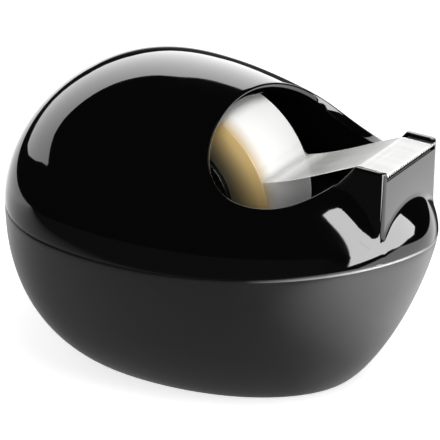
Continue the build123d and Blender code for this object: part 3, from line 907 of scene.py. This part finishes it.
class DISPENSER_OT_hub(bpy.types.Operator):
    """Turns the two halves of the hub that the core sits on"""

    bl_idname = "dispenser.hub"
    bl_label = "Hub"

    web: length("Web", "Thickness of the hub's web", 1.6)
    plug: length("Plug", "Depth of the cap's plug in the drum", 3.0)
    plug_wall: length("Plug wall", "Thickness of the plug's ring", 1.2)
    dish: length("Dish", "Depth of the dish in the face of each flange", 0.3)
    brim: length("Brim", "Width of the raised brim of each flange", 1.6)
    edge: length("Edge", "Rounding of the hub's edges", 0.12)

    def execute(self, context):
        tape = context.scene.dispenser_tape
        middle, size = middle_and_size("hub")
        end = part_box("hub")[1].y
        flange = size.x / 2
        face = end - tape.journal_reach
        back = face - tape.flange
        drum = tape.core_bore - tape.hub_fit
        bore = drum - tape.hub_wall
        dish = face - self.dish
        brim = flange - self.brim
        middle.y = 0
        hub = [(0, end), (tape.journal, end), (tape.journal, dish), (brim, dish), (brim, face)]
        hub += [(flange, face), (flange, back), (drum, back), (drum, -back)]
        hub += [(bore, -back), (bore, back - self.web), (0, back - self.web)]
        cap = [(radius, -y) for radius, y in hub[:7]]
        plug = bore - tape.hub_fit
        cap += [(plug, -back), (plug, self.plug - back), (plug - self.plug_wall, self.plug - back)]
        cap += [(plug - self.plug_wall, -back), (0, -back)]
        material = plain_abs("plain_abs_hub", context.scene.dispenser_colours.hub, 0.26)
        for name, outline, node in (("hub_drum", hub, "hub"), ("hub_lid", cap, "hub_cap")):
            bm = lathe(outline, middle, 128)
            round_sharp(bm, self.edge, 2)
            finish_piece(name, bm, material, "spool", "hub_plastic", node)
        return {"FINISHED"}


# thickness of the cutter plate, and how far behind it the tape comes down to its level
PLATE_THICK = 0.4 * MM
LANDING_GAP = 1.0 * MM


class DISPENSER_OT_tail(bpy.types.Operator):
    """Draws the free end of the tape from the roll over the cutter plate"""

    bl_idname = "dispenser.tail"
    bl_label = "Free end of the tape"

    lap: FloatProperty(
        name="Lap",
        description="Angle of the roll that the free end still covers",
        default=radians(4),
        unit="ROTATION",
    )
    clearance: length("Clearance", "Distance of the free end from the roll and from the plate", 0.12)
    curl: length("Curl", "How far the tape stands off the roll where it peels", 1.1)
    setback: length("Setback", "Distance of the tape's cut end behind the plate's teeth", 0.35)
    ripple: length("Ripple", "Height of the folds where the tape lies over the plate's rear edge", 0.12)

    def execute(self, context):
        tape = context.scene.dispenser_tape
        middle, size = middle_and_size("tape_roll")
        plate_low, plate_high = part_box("cutter_blade")
        plate_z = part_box("blade_holder")[1].z + PLATE_THICK + self.clearance
        radius = size.x / 2 + self.clearance
        axle = Vector((middle.x, middle.z))

        def around(angle, distance):
            return axle + distance * Vector((cos(angle), sin(angle)))

        # the curl starts 3 degrees above the peel angle and ends 1 degree below it
        start = tape.peel_angle + radians(3)
        on_roll = 4
        points = [around(start + self.lap * (1 - i / on_roll), radius) for i in range(on_roll)]
        leave = around(start, radius)
        peel = around(tape.peel_angle - radians(1), radius + self.curl)
        landing = Vector((plate_low.x - LANDING_GAP, plate_z))
        reach = landing - peel
        hang = Vector((0, -4 / 3 * tape.sag))
        down = Vector((sin(start), -cos(start)))
        handle = 0.9 * self.curl
        bend = (leave, leave + down * handle, peel - reach.normalized() * handle, peel)
        span = (peel, peel + reach / 3 + hang, landing - reach / 3, landing)
        points += interpolate_bezier(*bend, 12)[:-1]
        points += interpolate_bezier(*span, 48)
        on_plate = 16
        for i in range(1, on_plate + 1):
            x = landing.x + (plate_high.x - self.setback - landing.x) * i / on_plate
            # a fold every four faces, lower towards the cut end
            fold = self.ripple * sin(pi * i / 4) ** 2 * (1 - i / on_plate)
            points.append((x, plate_z + fold))
        bm = bmesh.new()
        verts = [bm.verts.new((x, -size.y / 2, z)) for x, z in points]
        edges = [bm.edges.new(pair) for pair in zip(verts, verts[1:])]
        across = bmesh.ops.extrude_edge_only(bm, edges=edges)["geom"]
        moved = [v for v in across if isinstance(v, bmesh.types.BMVert)]
        bmesh.ops.translate(bm, verts=moved, vec=(0, size.y, 0))
        bm.normal_update()
        turn_outwards(bm, Vector((middle.x, 0, 0)))
        bmesh.ops.solidify(bm, geom=bm.faces[:], thickness=tape.film)
        free_from = (leave.x, peel.x + 2 * self.curl)
        film = matt_film(context.scene.dispenser_colours, size.y / 2, free_from)
        end = finish_piece("tape_end", bm, film, "body", "tape_film", "tape_tail", smooth_angle=60)
        runs = [Vector((b[0] - a[0], b[1] - a[1])).length for a, b in zip(points, points[1:])]
        return {"FINISHED"}


class DISPENSER_OT_inner_parts(bpy.types.Operator):
    """Finishes the machined and moulded pieces whose construction shape is the final one"""

    bl_idname = "dispenser.inner_parts"
    bl_label = "Inner parts"

    def execute(self, context):
        colours = context.scene.dispenser_colours
        plain = plain_abs("plain_abs_frame", colours.inner)
        finishes = {
            "roll_frame": plain,
            "blade_holder": plain,
            "cutter_blade": rolled_steel("bright_steel", colours.steel, 0.25),
            "frame_screws": rolled_steel("zinc_plate", colours.zinc, 0.32, (1, 1, 1)),
            "ballast_block": cast_iron(colours),
            "foot_pad": moulded_rubber(colours),
        }
        for name, material in finishes.items():
            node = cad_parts[name]
            node.data.materials.clear()
            node.data.materials.append(material)
        bm = bmesh.new()
        bm.from_mesh(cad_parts["ballast_cushion"].data)
        bmesh.ops.remove_doubles(bm, verts=bm.verts, dist=1e-6)
        material = cell_foam(colours)
        foam = finish_piece("foam_sheet", bm, material, "body", "foam", "ballast_cushion", smooth_angle=30)
        return {"FINISHED"}


# ---- Floor, light and camera ----

# the photograph's view: the camera's place and target in millimetres, and the shift of its frame
CAMERA_PLACE = (245.66, -385.07, 251.53)
CAMERA_TARGET = (-12.51, 0, 36.77)
CAMERA_SHIFT = (0.0646, -0.0555)
# cards that the polished dome mirrors: azimuths, with lower and upper ends, in degrees
REAR_CARD = (
    (212, 33, 34), (205, 30.5, 36.5), (197, 25, 38), (184, 17, 39), (172, 12, 40), (160, 11, 41),
    (150, 10, 40.5), (140, 12, 39), (130, 9, 37), (124, 4, 36), (118, 0, 33.5), (108, -1, 32), (100, -2, 31),
)
FRONT_CARD = (
    (-37, 46, 54), (-34, -1, 56), (-28, -1, 59), (-18, -1, 61), (-8, -1, 58), (0, 1, 53), (12, 9, 47),
    (24, 12, 41), (34, 20, 38),
)
RIM_CARD = ((36, 38, 50), (52, 40, 54))


def direction(azimuth, elevation):
    """Unit vector towards an azimuth, from +X towards +Y, and an elevation, both in degrees."""
    a, e = radians(azimuth), radians(elevation)
    return Vector((cos(a) * cos(e), sin(a) * cos(e), sin(e)))


def fresh_nodes(owner):
    """Empties the nodes of a material or a world. Returns the function that adds nodes to it."""
    owner.use_nodes = True
    owner.node_tree.nodes.clear()
    return partial(add_node, owner.node_tree)


def reflection_card(name, outline, radiance, distance=2.5):
    """A card of evenly lit diffuser cloth, bent round the object and seen only in reflections."""
    bm = bmesh.new()
    count = len(outline) - 1
    bmesh.ops.create_grid(bm, x_segments=count, y_segments=1, size=0.5)
    for vert in bm.verts:
        azimuth, low, high = outline[round((vert.co.x + 0.5) * count)]
        vert.co = direction(azimuth, high if vert.co.y > 0 else low) * distance
    cloth = bpy.data.materials.new(name)
    add = fresh_nodes(cloth)
    light = add("Emission", {"Strength": radiance})[0]
    add("OutputMaterial", {"Surface": light})
    card = new_object(name, bm, cloth)
    for kind in ("camera", "diffuse", "transmission", "volume_scatter", "shadow"):
        setattr(card, "visible_" + kind, False)


def soft_lamp(name, place, side, radiance):
    """A square area lamp, out of sight of reflections, whose face shines at a radiance at the object."""
    lamp = bpy.data.lights.new(name, "AREA")
    lamp.shape = "SQUARE"
    lamp.size = side
    lamp.energy = radiance * pi * side * side
    holder = bpy.data.objects.new(name, lamp)
    holder.location = place
    middle = Vector((0, 0, 40 * MM))
    holder.rotation_euler = (middle - Vector(place)).to_track_quat("-Z", "Y").to_euler()
    holder.visible_glossy = False
    holder.visible_camera = False
    bpy.context.scene.collection.objects.link(holder)


class DISPENSER_OT_stage(bpy.types.Operator):
    """Sets the white floor, the studio light and the camera at the photograph's angle"""

    bl_idname = "dispenser.stage"
    bl_label = "Stage"

    lens: FloatProperty(name="Lens", description="Focal length", default=177.8, unit="CAMERA")
    floor_size: FloatProperty(name="Floor", description="Side of the floor", default=8.0, unit="LENGTH")

    def painted_mirror_light(self, add, place):
        """Painted light and shade on the floor, which only reflections see: how bright the floor is in them.
        """

        def fade(operation, point, start, end, low, high):
            """Goes from low to high between two distances in metres, along a direction or from a point."""
            distance = add("VectorMath", (place, point), operation=operation)["Value"]
            return add("MapRange", (distance, start, end, low, high))[0]

        def join(operation, *values):
            result = values[0]
            for value in values[1:]:
                result = add("Math", (result, value), operation=operation)[0]
            return result

        # painted light: grey at the left, darkened by painted shadow close to the object, and dark in front
        # of it
        left = join(
            "MULTIPLY",
            fade("DOT_PRODUCT", (-0.8, 1, 0), -0.105, 0.17, 0.06, 1.8),
            fade("DISTANCE", (0, 0, 0), 0.045, 0.12, 0.3, 1),
            fade("DOT_PRODUCT", (1, 1, 0), 0, 0.12, 1, 0.03),
        )
        # painted light: a pool at the right, as a low lamp would light it, and a painted bright strip in
        # front of that
        painted_lamp_pool = join(
            "MULTIPLY",
            fade("DOT_PRODUCT", (-0.04, 1, 0), -0.067, -0.062, 0, 2.6),
            fade("DOT_PRODUCT", (1, 0, 0), 0.04, 0.08, 0, 1),
        )
        strip = join(
            "MULTIPLY",
            fade("DOT_PRODUCT", (0.07, 1, 0), -0.081, -0.078, 12, 0),
            fade("DOT_PRODUCT", (0.67, 1, 0), 0.007, 0.012, 0, 1),
        )
        # painted light: a glow on the floor by the bowl's foot
        painted_glow_by_foot = join(
            "MULTIPLY",
            fade("DISTANCE", (0.03, 0, 0), 0.065, 0.085, 0.8, 0),
            fade("DOT_PRODUCT", (1, 0.55, 0), 0.018, 0.06, 0, 1),
        )
        return join("ADD", left, painted_lamp_pool, strip, painted_glow_by_foot)

    def floor(self):
        """White floor: takes the object's shadow, and is pure white to the camera elsewhere. Reflections see
        painted light and shade on it instead.
        """
        bm = bmesh.new()
        bmesh.ops.create_grid(bm, x_segments=1, y_segments=1, size=self.floor_size / 2)
        material = bpy.data.materials.new("white_sweep")
        add = fresh_nodes(material)
        rays = add("LightPath")
        place = add("TexCoord")["Object"]
        paint = add("BsdfDiffuse", {"Color": (0.8, 0.8, 0.8)})[0]
        seen = add("Math", (rays["Is Camera Ray"], 0.6), operation="MULTIPLY")[0]
        lift = add("Emission", {"Strength": seen})[0]
        plain = add("AddShader", (paint, lift))[0]
        # reflections see the painted light and shade instead of the lit white floor
        painted_reflection = add("Emission", {"Strength": self.painted_mirror_light(add, place)})[0]
        both = add("MixShader", (rays["Is Glossy Ray"], plain, painted_reflection))[0]
        add("OutputMaterial", {"Surface": both})
        new_object("floor", bm, material)

    def world(self):
        """White behind the object, soft grey for its shading, and a dark studio above in its reflections."""
        world = bpy.data.worlds.new("studio")
        add = fresh_nodes(world)
        rays = add("LightPath")
        glossy = add("Mix", {0: rays["Is Glossy Ray"], 2: 0.5, 3: 0.02})[0]
        straight = (rays["Is Camera Ray"], rays["Is Transmission Ray"])
        shown = add("Math", straight, operation="MAXIMUM")[0]
        level = add("Mix", {0: shown, 2: glossy, 3: 1.0})[0]
        sky = add("Background", {"Strength": level})[0]
        add("OutputWorld", {"Surface": sky})
        bpy.context.scene.world = world

    def camera(self):
        """Camera at the photograph's angle and framing."""
        lens = bpy.data.cameras.new("camera")
        lens.lens = self.lens
        lens.sensor_width = 36
        lens.clip_start = 0.01
        lens.shift_x, lens.shift_y = CAMERA_SHIFT
        camera = bpy.data.objects.new("camera", lens)
        camera.location = Vector(CAMERA_PLACE) * MM
        target = Vector(CAMERA_TARGET) * MM
        camera.rotation_euler = (target - camera.location).to_track_quat("-Z", "Y").to_euler()
        bpy.context.scene.collection.objects.link(camera)
        bpy.context.scene.camera = camera

    def execute(self, context):
        self.floor()
        self.world()
        self.camera()
        reflection_card("rear_softbox", REAR_CARD, 3.0)
        reflection_card("front_softbox", FRONT_CARD, 12)
        reflection_card("rim_softbox", RIM_CARD, 1.3)
        soft_lamp("key", (0.25, -0.05, 0.75), 0.6, 2.6)
        soft_lamp("fill", (0.33, -0.68, 0.24), 0.5, 5.6)
        context.scene.view_settings.view_transform = "Standard"
        return {"FINISHED"}


class DISPENSER_PT_pieces(bpy.types.Panel):
    """Lists the dispenser's pieces, with its sizes and colours"""

    bl_idname = "DISPENSER_PT_pieces"
    bl_label = "Tape Dispenser"
    bl_space_type = "VIEW_3D"
    bl_region_type = "UI"
    bl_category = "Dispenser"

    def draw(self, context):
        for operator in OPERATORS:
            self.layout.operator(operator.bl_idname)
        for group in GROUPS:
            box = self.layout.box()
            settings = getattr(context.scene, group)
            for name in settings.bl_rna.properties.keys():
                if name not in ("rna_type", "name"):
                    box.prop(settings, name)


GROUPS = {
    "dispenser_body": DispenserBody,
    "dispenser_beak": DispenserBeak,
    "dispenser_tape": DispenserTape,
    "dispenser_colours": DispenserColours,
}
# in the order in which they are made
OPERATORS = (
    DISPENSER_OT_stage,
    DISPENSER_OT_dome,
    DISPENSER_OT_beak,
    DISPENSER_OT_bowl,
    DISPENSER_OT_roll,
    DISPENSER_OT_hub,
    DISPENSER_OT_tail,
    DISPENSER_OT_inner_parts,
)


def register():
    for group in GROUPS.values():
        bpy.utils.register_class(group)
    for name, group in GROUPS.items():
        setattr(bpy.types.Scene, name, PointerProperty(type=group))
    for operator in OPERATORS:
        bpy.utils.register_class(operator)
    bpy.utils.register_class(DISPENSER_PT_pieces)


def unregister():
    bpy.utils.unregister_class(DISPENSER_PT_pieces)
    for operator in reversed(OPERATORS):
        bpy.utils.unregister_class(operator)
    for name, group in GROUPS.items():
        delattr(bpy.types.Scene, name)
        bpy.utils.unregister_class(group)


def main():
    """Builds the whole dispenser."""
    register()
    for operator in OPERATORS:
        getattr(bpy.ops.dispenser, operator.bl_idname.split(".")[1])()


if __name__ == "__main__":
    main()
